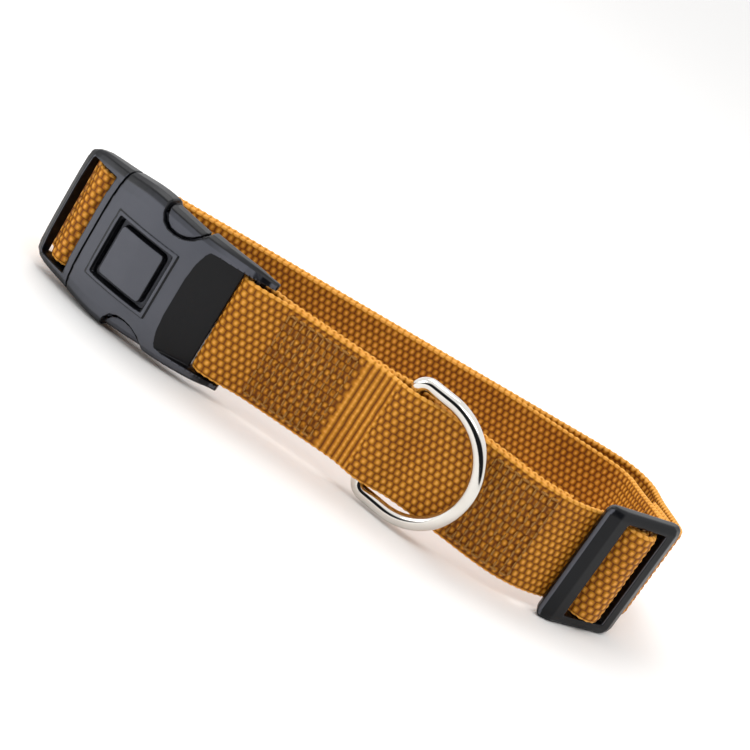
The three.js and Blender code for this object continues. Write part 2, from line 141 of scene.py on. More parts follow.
def plan_rows(back, side):
    """Each leg: its name, its length and the angle that it turns to the left."""
    last = FRONT_END_BEND * math.radians(FRONT_END_TURN)
    far = 180 + BACK_LEAN - FRONT_HEADING - FRONT_TURN - FRONT_END_TURN - SLIDER_END_TURN
    buckle = math.degrees((BUCKLE_LENGTH - EAR_OVERHANG) / BUCKLE_RADIUS)
    left = 90 - LEFT_LEAN - BACK_LEAN
    plug = 90 + LEFT_LEAN + FRONT_HEADING - buckle
    return [
        ("from the buckle", RING_AT, FRONT_TURN),
        ("past the ring", SLIDER_AT - RING_AT - last, 0),
        ("to the slider", last, FRONT_END_TURN),
        ("slider", SLIDER_LENGTH, 0),
        ("behind the slider", NEAR_BEND * math.radians(SLIDER_END_TURN), SLIDER_END_TURN),
        ("right side", RIGHT_SIDE, 0),
        ("far bend", FAR_BEND * math.radians(far) * FAR_TIGHT, far * FAR_TIGHT),
        ("far bend closes", FAR_BEND * FAR_CLOSING, far * FAR_SLACK),
        ("back run", back, 0),
        ("left bend", LEFT_BEND * math.radians(left), left),
        ("left side", side, 0),
        ("to the plug", LEFT_BEND * math.radians(plug), plug),
        ("buckle", BUCKLE_LENGTH - EAR_OVERHANG, buckle),
    ]


def along(leg, d):
    """The place and heading at a distance along one leg."""
    start, x, y, heading, length, bend = leg
    if abs(bend) < 1e-9:
        return x + d * math.cos(heading), y + d * math.sin(heading), heading
    turned = heading + bend * d
    return (
        x + (math.sin(turned) - math.sin(heading)) / bend,
        y - (math.cos(turned) - math.cos(heading)) / bend,
        turned,
    )


def walk(rows):
    """Sets the legs end to end."""
    legs, s = [], 0.0
    x, y, heading = 0.0, 0.0, math.radians(FRONT_HEADING)
    for _, length, turn in rows:
        bend = math.radians(turn) / length if length > 0 else 0.0
        legs.append((s, x, y, heading, length, bend))
        x, y, heading = along(legs[-1], length)
        s += length
    return legs, s, x, y


# %% Close the line with the back run and the left side
BACK_RUN, LEFT_SIDE = 8, 10
open_legs, _, end_x, end_y = walk(plan_rows(0, 0))
back_heading, side_heading = open_legs[BACK_RUN][3], open_legs[LEFT_SIDE][3]
lengths = np.linalg.solve(
    [
        [math.cos(back_heading), math.cos(side_heading)],
        [math.sin(back_heading), math.sin(side_heading)],
    ],
    [-end_x, -end_y],
)
legs, LOOP, _, _ = walk(plan_rows(*lengths))
print(f"the loop is {LOOP:.1f} mm round")


def on_line(s):
    """The place and heading on the plan line at s."""
    s = s % LOOP
    for leg in legs:
        if leg[0] <= s <= leg[0] + leg[4]:
            return along(leg, s - leg[0])
    return along(legs[0], 0)


# %% Heights: the front run is raised by what the buckle is wider than the webbing
HEIGHTS = [
    (0, FRONT_RISE),
    (RING_AT + RING_ARM, FRONT_RISE),
    (SLIDER_AT - GAP, SLIDER_RISE),
    (SLIDER_END + GAP, SLIDER_RISE),
    (SLIDER_END + RIGHT_SIDE * 1.6, 0),
    (LOOP + BUCKLE_START - LEFT_BEND * 5, 0),
    (LOOP + BUCKLE_START, FRONT_RISE),
]


def middle(s):
    """The height of the middle of the webbing."""
    s = s % LOOP
    for (a, low), (b, high) in zip(HEIGHTS, HEIGHTS[1:]):
        if s <= b:
            t = (s - a) / (b - a)
            return HALF + low + (high - low) * t * t * (3 - 2 * t)
    return HALF + FRONT_RISE


# %% Lay the line on the D-ring's hinge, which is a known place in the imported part
pivot = Vector(frame["joints"][0]["pos_m"]) / MM
ring_x, ring_y, ring_heading = on_line(RING_AT)
SHIFT = (pivot.x - ring_x, pivot.y - ring_y)
print("the line is shifted by", [round(v, 2) for v in SHIFT], "mm")


def place(s, n, z):
    """A place in metres from s along, n outside and z above."""
    x, y, heading = on_line(s)
    return Vector((
        (x + SHIFT[0] + n * math.sin(heading)) * MM,
        (y + SHIFT[1] - n * math.cos(heading)) * MM,
        (middle(s) + z) * MM,
    ))


# %% [markdown]
# ## The path of the webbing
# The strap starts at its sewn tail, goes left on the inside, turns round the bar of the buckle,
# comes back outside the ring's bar, weaves through the slider, goes round the back to the plug
# and returns inside that run to be sewn round the slider's middle bar. Bends round a bar are
# arcs, and straight lines that touch both arcs join them, as taut webbing does.

# %% Pieces of the path
def smooth(rows, column, x):
    """A smooth curve through the rows of a table."""
    if x <= rows[0][0]:
        return rows[0][column]
    if x >= rows[-1][0]:
        return rows[-1][column]
    i = max(k for k in range(len(rows) - 1) if rows[k][0] <= x)

    def slope(k):
        if k in (0, len(rows) - 1):
            return 0.0
        return (rows[k + 1][column] - rows[k - 1][column]) / (rows[k + 1][0] - rows[k - 1][0])

    h = rows[i + 1][0] - rows[i][0]
    t = (x - rows[i][0]) / h
    blend = t * t * (3 - 2 * t)
    value = rows[i][column] * (1 - blend) + rows[i + 1][column] * blend
    return value + slope(i) * h * t * (1 - t) ** 2 - slope(i + 1) * h * t * t * (1 - t)


def between(start, end, step):
    """Even places from start to end, no further apart than step."""
    return np.linspace(start, end, max(2, int(abs(end - start) / step) + 2))


ARC_STEP = 5


def arc(s, n, radius, start, end):
    """Points on a bend round a bar, between two angles in degrees."""
    turns = between(start, end, ARC_STEP)
    return [
        (s + radius * math.cos(math.radians(a)), n + radius * math.sin(math.radians(a)))
        for a in turns
    ]


BAR_SPREAD = RING_SPREAD * 1.3


def swell(s):
    """How far a layer stands off to leave room for the ring's bar or the socket's bar."""
    d = abs(s - RING_AT) / RING_SPREAD
    ring = (RING_WIRE / 2 + GAP / 2) * math.cos(d * math.pi / 2) ** 2 if d < 1 else 0
    e = abs(s) / BAR_SPREAD
    bar = (BAR_RADIUS + GAP / 2) * (0.5 + 0.5 * math.cos(e * math.pi)) if e < 1 else 0
    return ring + bar


# %% Where the webbing touches the slider's bars
SLIDER_MID = SLIDER_AT + SLIDER_LEFT_BAR + SLIDER_WINDOW / 2
REACH = SLIDER_WINDOW / 2 + SLIDER_EDGE
GUARD = SLIDER_EDGE + GAP + WEB_THICK / 2
GUARD_DROP = SLIDER_THICK / 2 - SLIDER_EDGE
SLIDER_OUT = LAYER + GUARD + GUARD_DROP
LOOP_RADIUS = SLIDER_BAR_RADIUS + GAP + WEB_THICK / 2
MID_OUT = SLIDER_OUT - SLIDER_BAR_DROP
GUARD_OUT = SLIDER_OUT - GUARD_DROP
LEFT_GUARD, RIGHT_GUARD = SLIDER_MID - REACH, SLIDER_MID + REACH

span = math.hypot(REACH, GUARD_OUT - MID_OUT)
tilt = math.degrees(math.atan2(GUARD_OUT - MID_OUT, REACH))
lean = math.degrees(math.asin(min(1, (LOOP_RADIUS + PITCH + GUARD) / span)))
under = math.degrees(math.asin(min(1, (GUARD + 2 * PITCH - LOOP_RADIUS) / span)))
UP, DOWN, LOW = lean - tilt, tilt - lean, tilt - under
print(f"the webbing climbs over the middle bar at {UP:.0f} degrees")

# %% The inner layer: how deep it hangs in the bends, and where it lies close
CORNER = legs[6][0] + FAR_BEND * 0.65
INNER = [
    (RIGHT_GUARD, 0, PITCH),
    (RIGHT_GUARD + NEAR_BEND, INNER_DIP * 0.2, PITCH),
    (CORNER - FAR_BEND * 1.4, INNER_DIP * 0.64, PITCH),
    (CORNER, INNER_DIP, PITCH),
    (CORNER + FAR_BEND * 1.3, INNER_DIP * 0.7, PITCH),
    (CORNER + FAR_BEND * 2.8, INNER_DIP * 0.26, PITCH * 0.5),
    (CORNER + FAR_BEND * 4.4, 0, 0),
]


def inner_run(s):
    """The layer that comes back from the plug on the loop's inside."""
    return LAYER - PITCH - smooth(INNER, 2, s) - smooth(INNER, 1, s)


TAIL_HANG = 0.88


def free_end(s):
    """The tail that is left over past the slider."""
    return LAYER - PITCH - smooth(INNER, 1, s) * TAIL_HANG


# %% The tuck next to the plug
PLUG_S = LOOP + BUCKLE_START + PLUG_BAR_AT
PLUG_ENTER = LOOP + BUCKLE_START + PLUG_END_BAR
TUCK = [
    (PLUG_ENTER - TUCK_REACH, 0),
    (PLUG_ENTER - TUCK_REACH / 2, PLUG_TUCK * 0.9),
    (PLUG_ENTER - 1, PLUG_TUCK),
]


def tuck(s):
    """How far the webbing hugs the loop's inside next to the plug."""
    return smooth(TUCK, 1, s)


# %% String the pieces together
FRONT_STEP, RUN_STEP = 0.7, 0.9
SOCKET_FOLD, PLUG_FOLD = (-100, -260), (110, -110)
front = list(between(TAIL_LENGTH, GAP, FRONT_STEP))
line = [(s, -LAYER - swell(s)) for s in front]
line += arc(-FOLD_PLAY, 0, WRAP, *SOCKET_FOLD)
line += [(s, LAYER + swell(s)) for s in reversed(front)]
line += [(s, LAYER) for s in between(TAIL_LENGTH + 1, LEFT_GUARD - 1, FRONT_STEP)]
line += arc(LEFT_GUARD, GUARD_OUT, GUARD, -90, UP - 90)
line += arc(SLIDER_MID, MID_OUT, LOOP_RADIUS + PITCH, UP + 90, DOWN + 90)
line += arc(RIGHT_GUARD, GUARD_OUT, GUARD, DOWN - 90, -90)
line += [
    (s, LAYER - tuck(s)) for s in between(RIGHT_GUARD + 2, PLUG_ENTER - 1.5, RUN_STEP)
]
line += [
    (PLUG_ENTER, LAYER - PLUG_TUCK),
    (PLUG_ENTER + (PLUG_S - PLUG_ENTER) * 0.42, LAYER + (WRAP + PLUG_BAR_OUT - LAYER) * 0.6),
]
line += arc(PLUG_S, PLUG_BAR_OUT, WRAP, *PLUG_FOLD)
line += [(PLUG_ENTER, -LAYER - PLUG_TUCK)]
line += [
    (s, inner_run(s) - tuck(s)) for s in between(PLUG_ENTER - 3, RIGHT_GUARD + 3, RUN_STEP)
]
line += arc(RIGHT_GUARD, GUARD_OUT, GUARD + 2 * PITCH, -90, LOW - 90)
line += arc(SLIDER_MID, MID_OUT, LOOP_RADIUS, LOW - 90, DOWN - 270)
line += arc(RIGHT_GUARD, GUARD_OUT, GUARD + PITCH, DOWN - 90, -90)
line += [
    (s, free_end(s)) for s in between(RIGHT_GUARD + 2, RIGHT_GUARD + SLIDER_TAIL, RUN_STEP)
]
print("the path has", len(line), "points")

# %% Even steps along the path, a little softened where a straight meets an arc
STEP = 0.45
dots = np.array([place(s, n, 0) for s, n in line]) / MM
run = np.concatenate([[0], np.cumsum(np.linalg.norm(np.diff(dots[:, :2], axis=0), axis=1))])
STRAP_LENGTH = run[-1]
count = int(STRAP_LENGTH / STEP)
at = np.linspace(0, STRAP_LENGTH, count + 1)
path = np.stack([np.interp(at, run, dots[:, k]) for k in range(3)], axis=1)
SOFTEN = np.array([1, 4, 6, 4, 1]) / 16
for _ in range(2):
    wide = np.pad(path, ((2, 2), (0, 0)), mode="reflect", reflect_type="odd")
    path = sum(w * wide[k:k + len(path)] for k, w in enumerate(SOFTEN))
heading = np.gradient(path[:, :2], axis=0)
heading /= np.linalg.norm(heading, axis=1)[:, None]
print(f"the strap is {STRAP_LENGTH:.0f} mm long in {count} steps")

# %% Where the outer face of the front run lies on the cloth's ruler
outer = sorted((s, d) for d, (s, n) in zip(run, line) if n > 0 and 1 < s < TAIL_LENGTH)


def on_ruler(s):
    """The place on the ruler of the outer face at s."""
    return float(np.interp(s, [a for a, _ in outer], [d for _, d in outer]))


SEAMS = ((9.5, 27.5), (64.5, 80.5))
SEAM_EDGE = 0.5
RIB_SPAN = (29, 38.5)
RIBS = [on_ruler(s) for s in RIB_SPAN]
SEWN = [(on_ruler(start - SEAM_EDGE), on_ruler(end + SEAM_EDGE)) for start, end in SEAMS]
print("sewn at", [[round(d) for d in pair] for pair in SEWN], "mm on the cloth's ruler")

# %% [markdown]
# ## The webbing
# Real webbing is cut flat from a roll, and its weave runs along it however it is folded. So the
# strap starts as one flat grid, as long as the path and as wide as the way round its section.
# The grid keeps its own UV map, which is the cloth's own ruler, and is then carried onto the
# path. Cloth simulation would lose the crisp folds that taut webbing has.

# %% The section of the webbing: two faces and two rounded edges
FACE_STEPS, EDGE_STEPS = 28, 4
EDGE_R = WEB_THICK / 2
flat_width = WEB_WIDTH - 2 * EDGE_R
edge_length = math.pi * EDGE_R
around = 2 * flat_width + 2 * edge_length


def section(t):
    """Offset out of the face, place across it and cloth coordinate, t from 0 to 1."""
    flat, bend = flat_width, edge_length
    d = t * around
    if d <= flat:
        return EDGE_R, d - flat / 2, d
    d -= flat
    if d <= bend:
        a = d / EDGE_R
        return EDGE_R * math.cos(a), flat / 2 + EDGE_R * math.sin(a), flat + d
    d -= bend
    if d <= flat:
        return -EDGE_R, flat / 2 - d, flat + bend + d
    d -= flat
    a = d / EDGE_R
    return -EDGE_R * math.cos(a), -flat / 2 - EDGE_R * math.sin(a), 2 * flat + bend + d


stops = np.concatenate([
    np.linspace(0, flat_width, FACE_STEPS + 1)[:-1],
    flat_width + np.linspace(0, edge_length, EDGE_STEPS + 1)[:-1],
    flat_width + edge_length + np.linspace(0, flat_width, FACE_STEPS + 1)[:-1],
    2 * flat_width + edge_length + np.linspace(0, edge_length, EDGE_STEPS + 1),
]) / around
ring_of = [section(t) for t in stops]
print("the way round the section is", round(around, 1), "mm in", len(stops) - 1, "steps")

# %% One flat grid, as long as the strap
bpy.ops.object.select_all(action="DESELECT")
bpy.ops.mesh.primitive_grid_add(x_subdivisions=count, y_subdivisions=len(stops) - 1, size=1)
webbing = bpy.context.object
webbing.name = "webbing"
mesh = webbing.data
flat = np.empty(len(mesh.vertices) * 3)
mesh.vertices.foreach_get("co", flat)
flat = flat.reshape(-1, 3)
col = np.rint((flat[:, 0] + 0.5) * count).astype(int)
row = np.rint((flat[:, 1] + 0.5) * (len(stops) - 1)).astype(int)
out, across, ruler = (np.array(column) for column in zip(*ring_of))
out, across = out[row], across[row]
ruler[-1] = around
ruler = ruler - flat_width / 2
print("grid:", len(mesh.vertices), "vertices")

# %% The weave's relief
# The knuckles stand up a little. One line of vertices lies on each warp yarn's crest and one
# between it and the next, and nearly four steps lie in each pick. The edges are wavy, because
# the cross yarns pull them in at each turn. In the ribbed stretch the yarns float side by side.
PICK = 1.7
WARP = WEB_WIDTH / 15
RELIEF = 0.26
EDGE_WAVE = 0.12
RIB_FADE = 1.2
RIB_FLANK = 0.8
KNUCKLE_MEAN = 0.6
beyond = np.clip(np.abs(across) - flat_width / 2, 0, None) / EDGE_R
wave = EDGE_WAVE * (np.cos(at[col] / PICK * 2 * math.pi) - 1) * beyond
across = across + np.sign(across) * wave
yarn = ruler[row] / WARP
in_ribs = np.clip(np.minimum(at[col] - RIBS[0], RIBS[1] - at[col]) / RIB_FADE + 0.5, 0, 1)
shifted = at[col] / PICK + (np.abs(np.floor(yarn)) % 2) * 0.5 * (1 - in_ribs)
crest = np.abs(np.sin(shifted * math.pi))
flank = np.maximum(np.abs(np.sin(yarn * math.pi)), in_ribs * RIB_FLANK)
on_face = np.clip(1 - beyond * 2, 0, 1)
knuckles = (crest * np.sqrt(flank) - KNUCKLE_MEAN) * RELIEF * on_face
out = out + np.sign(out) * knuckles
print("the knuckles stand from", round(knuckles.min(), 2), "to", round(knuckles.max(), 2), "mm")

# %% Carry the grid onto the path, with both cut ends pressed thin by the heat that seals them
SEAL_LENGTH, SEAL_THIN = 0.6, 0.55
taper = np.clip(np.minimum(at[col], STRAP_LENGTH - at[col]) / SEAL_LENGTH, SEAL_THIN, 1)
normal = np.stack([heading[col, 1], -heading[col, 0]], axis=1)
placed = np.empty_like(flat)
placed[:, :2] = path[col, :2] + normal * (out * taper)[:, None]
placed[:, 2] = path[col, 2] + across
mesh.vertices.foreach_set("co", (placed * MM).ravel())

# %% The cloth's own ruler in its UV map, in metres
uv = mesh.uv_layers[0]
loops = np.empty(len(mesh.loops), dtype=np.int32)
mesh.loops.foreach_get("vertex_index", loops)
values = np.stack([at[col[loops]], ruler[row[loops]]], axis=1) * MM
uv.data.foreach_set("uv", values.ravel())

# %% Close the seam and the two cut ends
only(webbing)
bpy.ops.object.mode_set(mode="EDIT")
bpy.ops.mesh.select_all(action="SELECT")
bpy.ops.mesh.remove_doubles(threshold=1e-6)
bpy.ops.mesh.select_all(action="DESELECT")
bpy.ops.mesh.select_mode(type="EDGE")
bpy.ops.mesh.select_non_manifold()
bpy.ops.mesh.edge_face_add()
bpy.ops.mesh.select_all(action="SELECT")
bpy.ops.mesh.normals_make_consistent(inside=False)
bpy.ops.object.mode_set(mode="OBJECT")
bpy.ops.object.shade_smooth_by_angle(angle=math.radians(75))
print("webbing faces:", len(webbing.data.polygons))
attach(webbing, "collar")
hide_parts("strap")

# %% [markdown]
# ## The sewing
# Rows of lockstitch hold the folded webbing in two blocks, on both sides of the ring, and in a
# small one behind the slider. A stitch is a short taut loop of thread that sinks into the weave
# at both ends. One stitch is modelled and copied, so each row stays light.

# %% One stitch
STITCH = 1.9
STITCH_SINK = 1.06
THREAD = 0.62
THREAD_FLAT = 0.9
bpy.ops.object.select_all(action="DESELECT")
bpy.ops.mesh.primitive_uv_sphere_add(segments=8, ring_count=6, radius=0.5 * MM)
stitch = bpy.context.object
bpy.ops.transform.resize(value=(STITCH * STITCH_SINK, THREAD, THREAD * THREAD_FLAT))
bpy.ops.object.transform_apply(location=False, rotation=False, scale=True)
stitch_verts = np.array([v.co for v in stitch.data.vertices])
stitch_faces = [tuple(p.vertices) for p in stitch.data.polygons]
print("one stitch has", len(stitch_faces), "faces")

# %% Where each row lies
ROW_STEP = 1.75
SEW_REACH = 10.6
ON_RELIEF = 0.14
SLIDER_ROWS, SLIDER_ROWS_AT, SLIDER_ROW_STEP = 5, 9, 2.6


def face_out(s):
    """How far out of the middle the sewn webbing's face is."""
    return LAYER + swell(s) + WEB_THICK / 2 + ON_RELIEF


rows = []
for start, end in SEAMS:
    steps = int((end - start) / ROW_STEP) + 1
    for i in range(steps):
        s = start + (end - start) * i / (steps - 1)
        for n in (face_out(s), -face_out(s)):
            rows.append((s, n, -SEW_REACH, SEW_REACH, "across"))
    for z in (-SEW_REACH, SEW_REACH):
        for n in (face_out(start), -face_out(start)):
            rows.append((start, n, z, end, "along"))
for k in range(SLIDER_ROWS):
    s = RIGHT_GUARD + SLIDER_ROWS_AT + SLIDER_ROW_STEP * k
    rows.append((s, inner_run(s) - WEB_THICK / 2, -SEW_REACH, SEW_REACH, "across"))
print("rows of stitches:", len(rows))

# %% Copy the stitch along each row, from a seeded source of small unevenness
SEW_PITCH = STITCH + 0.12
UNEVEN = 0.06
rng = np.random.default_rng(7)
verts, faces = [], []


def sew(s, n, z, direction):
    """Sets one stitch on the cloth's face, across it or along it."""
    centre = place(s, n, z)
    x, y, turn = on_line(s)
    tangent = Vector((math.cos(turn), math.sin(turn), 0))
    outward = Vector((math.sin(turn), -math.cos(turn), 0))
    up = Vector((0, 0, 1))
    main, side = (up, tangent) if direction == "across" else (tangent, up)
    main = (main + side * rng.normal(0, UNEVEN)).normalized()
    base = len(verts)
    frame_of = Matrix((main, side, outward)).transposed()
    for v in stitch_verts:
        verts.append(centre + frame_of @ Vector(v))
    faces.extend(tuple(base + i for i in f) for f in stitch_faces)


for s, n, a, b, direction in rows:
    if direction == "across":
        number = int((b - a) / SEW_PITCH)
        for i in range(number):
            sew(s, n, a + (b - a) * (i + 0.5) / number, direction)
    else:
        number = max(1, int((b - s) / SEW_PITCH))
        for i in range(number):
            sew(s + (b - s) * (i + 0.5) / number, n, a, direction)

# %% Put all the stitches in one mesh
stitch.data.clear_geometry()
stitch.data.from_pydata([tuple(v) for v in verts], [], faces)
stitch.name = "stitching"
only(stitch)
bpy.ops.object.shade_smooth()
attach(stitch, "collar")
print("stitches:", len(faces) // len(stitch_faces))

# %% [markdown]
# ## The D-ring
# The ring is bent from one steel wire, welded and nickel plated. It starts as half a torus for
# the bow. Its open ends are drawn out into the two arms, spun round the tight corners and
# joined by the straight bar that the webbing holds.

# %% Half a torus for the bow
RING_R = RING_WIRE / 2
RING_HALF = HALF + RING_SIDE_ROOM + RING_R
bpy.ops.object.select_all(action="DESELECT")
bpy.ops.mesh.primitive_torus_add(
    major_segments=96,
    minor_segments=28,
    major_radius=RING_HALF * MM,
    minor_radius=RING_R * MM,
)
ring = bpy.context.object
ring.name = "nickel_ring"
bpy.ops.object.mode_set(mode="EDIT")
bpy.ops.mesh.select_all(action="SELECT")
bpy.ops.mesh.bisect(plane_co=(0, 0, 0), plane_no=(1, 0, 0), clear_inner=True)
print("the ring is", round(2 * (RING_HALF + RING_R), 1), "mm wide over all")


# %% Draw the ends out, spin the corners and join the bar
def select_where(test):
    """Selects the vertices that a test names, in vertex mode."""
    bpy.ops.mesh.select_all(action="DESELECT")
    bpy.ops.mesh.select_mode(type="VERT")
    bpy.ops.object.mode_set(mode="OBJECT")
    for v in ring.data.vertices:
        v.select = test(v.co / MM)
    bpy.ops.object.mode_set(mode="EDIT")


NEAR = 0.01
select_where(lambda p: p.x < NEAR)
arm = RING_ARM - RING_CORNER
bpy.ops.mesh.extrude_region_move(TRANSFORM_OT_translate={"value": (-arm * MM, 0, 0)})
for side in (1, -1):
    select_where(lambda p: p.x < -arm + NEAR and p.y * side > 0)
    bpy.ops.mesh.spin(
        steps=10,
        angle=-side * math.pi / 2,
        center=(-arm * MM, side * (RING_HALF - RING_CORNER) * MM, 0),
        axis=(0, 0, 1),
    )
select_where(lambda p: p.x < -arm - 0.5 and abs(abs(p.y) - (RING_HALF - RING_CORNER)) < NEAR)
bpy.ops.mesh.select_mode(type="EDGE")
bpy.ops.mesh.bridge_edge_loops()
bpy.ops.mesh.select_all(action="SELECT")
bpy.ops.mesh.remove_doubles(threshold=1e-6)
bpy.ops.mesh.normals_make_consistent(inside=False)
bpy.ops.object.mode_set(mode="OBJECT")

# %% Lay the ring on its hinge, leaning out over the webbing
edge_reach = RING_ARM + math.sqrt(RING_HALF**2 - HALF**2)
RING_LEAN = math.asin((LAYER + WEB_THICK / 2 + GAP + RING_R) / edge_reach)
towards = ring_heading - RING_LEAN
d_axis = Vector((math.cos(towards), math.sin(towards), 0))
out_axis = Vector((math.sin(towards), -math.cos(towards), 0))
turned = Matrix((d_axis, Vector((0, 0, 1)), out_axis)).transposed().to_4x4()
hinge = place(RING_AT, 0, 0)
ring.data.transform(Matrix.Translation(hinge) @ turned @ Matrix.Translation((RING_ARM * MM, 0, 0)))
only(ring)
bpy.ops.object.mode_set(mode="EDIT")
bpy.ops.mesh.select_all(action="SELECT")
bpy.ops.mesh.normals_make_consistent(inside=False)
bpy.ops.object.mode_set(mode="OBJECT")
bpy.ops.object.shade_smooth()
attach(ring, "ring")
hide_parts("d_ring")
print("ring box:", [round(v / MM, 1) for v in ring.dimensions])

# %% [markdown]
# ## The moulded parts
# The buckle's halves and the slider are injection moulded. Their solids have the right shape
# but knife-sharp edges, and no moulding has those: a tool is cut with small radii, and they
# catch the light. Each part is copied, remeshed finely and relaxed, which rounds every edge by
# a fraction of a millimetre. The narrow groove round the square panel would close up in that,
# so it is cut wider and deeper first, like a moat that stays dark inside.

# %% A square frame that cuts the moat round the buckle's bare panel
PANEL_FROM_PLUG = 24.6
PANEL_OUT = 6.05
MOAT_DEPTH = 2.2
MOAT_OUTER, MOAT_INNER, MOAT_CORNER = 7.55, 6.3, 1.0
CUTTER_THICK = 5
PANEL_S = LOOP + BUCKLE_START + PANEL_FROM_PLUG


def rounded_block(name, half, radius, thick):
    """A square block with its four upright edges rounded."""
    bpy.ops.object.select_all(action="DESELECT")
    bpy.ops.mesh.primitive_cube_add(size=1)
    block = bpy.context.object
    block.name = name
    bpy.ops.transform.resize(value=(2 * half * MM, 2 * half * MM, thick * MM))
    bpy.ops.object.transform_apply(location=False, rotation=False, scale=True)
    bpy.ops.object.mode_set(mode="EDIT")
    bpy.ops.mesh.select_mode(type="EDGE")
    bpy.ops.mesh.select_all(action="DESELECT")
    bpy.ops.object.mode_set(mode="OBJECT")
    for edge in block.data.edges:
        a, b = (block.data.vertices[k].co for k in edge.vertices)
        edge.select = abs(a.z - b.z) > thick * MM / 2
    bpy.ops.object.mode_set(mode="EDIT")
    bpy.ops.mesh.bevel(offset=radius * MM, segments=4)
    bpy.ops.object.mode_set(mode="OBJECT")
    return block


moat = rounded_block("moat_cutter", MOAT_OUTER, MOAT_CORNER, CUTTER_THICK)
core = rounded_block("moat_core", MOAT_INNER, MOAT_CORNER, CUTTER_THICK + 2)
apply_modifier(moat, "BOOLEAN", operation="DIFFERENCE", object=core, solver="EXACT")
bpy.data.objects.remove(core)
_, _, turn = on_line(PANEL_S)
tangent = Vector((math.cos(turn), math.sin(turn), 0))
outward = Vector((math.sin(turn), -math.cos(turn), 0))
at_panel = Matrix.Translation(place(PANEL_S, PANEL_OUT - MOAT_DEPTH + CUTTER_THICK / 2, 0))
facing_out = Matrix((tangent, Vector((0, 0, 1)), outward)).transposed().to_4x4()
moat.data.transform(at_panel @ facing_out)
print("moat:", round(MOAT_OUTER - MOAT_INNER, 2), "mm wide and", MOAT_DEPTH, "mm deep")

# %% Copy, merge, remesh and relax
FINE = 0.22
MOST = 120000


def moulded(node, name, voxel, rounds, cutter=None):
    """Makes a rounded copy of a node's solid, with an optional cut made in it first."""
    only(nodes[node])
    bpy.ops.object.duplicate()
    part = bpy.context.object
    part.name = name
    part.parent = None
    bpy.ops.object.mode_set(mode="EDIT")
    bpy.ops.mesh.select_all(action="SELECT")
    bpy.ops.mesh.remove_doubles(threshold=1e-6)
    bpy.ops.object.mode_set(mode="OBJECT")
    if cutter:
        apply_modifier(part, "BOOLEAN", operation="DIFFERENCE", object=cutter, solver="EXACT")
    apply_modifier(part, "REMESH", mode="VOXEL", voxel_size=voxel * MM, adaptivity=0.0)
    apply_modifier(part, "SMOOTH", factor=0.5, iterations=rounds)
    triangles = 2 * len(part.data.polygons)
    if triangles > MOST:
        apply_modifier(part, "DECIMATE", ratio=MOST / triangles)
    part.data.materials.clear()
    only(part)
    bpy.ops.object.shade_smooth()
    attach(part, "collar")
    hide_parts(node)
    print(name, "faces:", len(part.data.polygons))
    return part


# %% The three moulded parts
socket = moulded("buckle_socket", "moulded_socket", FINE, 4, moat)
bpy.data.objects.remove(moat)
plug = moulded("buckle_plug", "moulded_plug", FINE, 4)
slider = moulded("tri_glide", "moulded_slider", FINE, 6)

# %% [markdown]
# ## Materials
# Colours are written as sRGB hex values, as a paint shop gives them, and one function turns
# them to the linear values that the shader needs. One more adds a node with its settings and
# links, which keeps each material short enough to read.

# %% Helpers for materials
def linear(hex_colour):
    """Linear red, green, blue and alpha of an sRGB hex colour."""
    values = [int(hex_colour[i:i + 2], 16) / 255 for i in (1, 3, 5)]
    values = [v / 12.92 if v <= 0.04045 else ((v + 0.055) / 1.055) ** 2.4 for v in values]
    return (*values, 1.0)


def add(tree, kind, inputs=(), **settings):
    """Adds a node, sets its properties, and sets or links its inputs, by name or in order."""
    node = tree.nodes.new("ShaderNode" + kind)
    for name, value in settings.items():
        setattr(node, name, value)
    for key, value in inputs.items() if isinstance(inputs, dict) else enumerate(inputs):
        if isinstance(value, bpy.types.Node):
            value = value.outputs[0]
        if isinstance(value, bpy.types.NodeSocket):
            tree.links.new(value, node.inputs[key])
        else:
            node.inputs[key].default_value = value
    return node


def material(name):
    """A new material, its node tree and its main shader."""
    made = bpy.data.materials.new(name)
    made.use_nodes = True
    tree = made.node_tree
    return made, tree, tree.nodes["Principled BSDF"]


# %% [markdown]
# Nylon webbing: warp yarns run along the strap and float over the cross yarns in turn, so each
# face is a brick pattern of plump knuckles with pits between them. The colour is painted lighter
# on the crests and darker in the pits, a painted highlight and painted shade over the weave.
# There are 15 knuckles across 25 mm. Nylon filament is smooth and a little shiny.

# %% Where a point lies on the cloth, in metres along it and across it
web_mat, tree, shader = material("woven_nylon_amber")
cloth = add(tree, "TexCoord").outputs["UV"]
split = add(tree, "SeparateXYZ", [cloth])
length_way, width_way = split.outputs["X"], split.outputs["Y"]


# %% Two shapes that the pattern is made of
def window(tree, value, low, high, soft):
    """1 between low and high, fading over soft at both sides."""
    rise = add(tree, "MapRange", (value, low - soft, low + soft),
               interpolation_type="SMOOTHSTEP")
    fall = add(tree, "MapRange", (value, high - soft, high + soft, 1.0, 0.0),
               interpolation_type="SMOOTHSTEP")
    return add(tree, "Math", (rise, fall), operation="MULTIPLY")


def crests(tree, value, pitch):
    """0 at each whole pitch and 1 halfway to the next, as a round wave."""
    turns = add(tree, "Math", (value, math.pi / pitch), operation="MULTIPLY")
    wave = add(tree, "Math", [turns], operation="SINE")
    return add(tree, "Math", [wave], operation="ABSOLUTE")


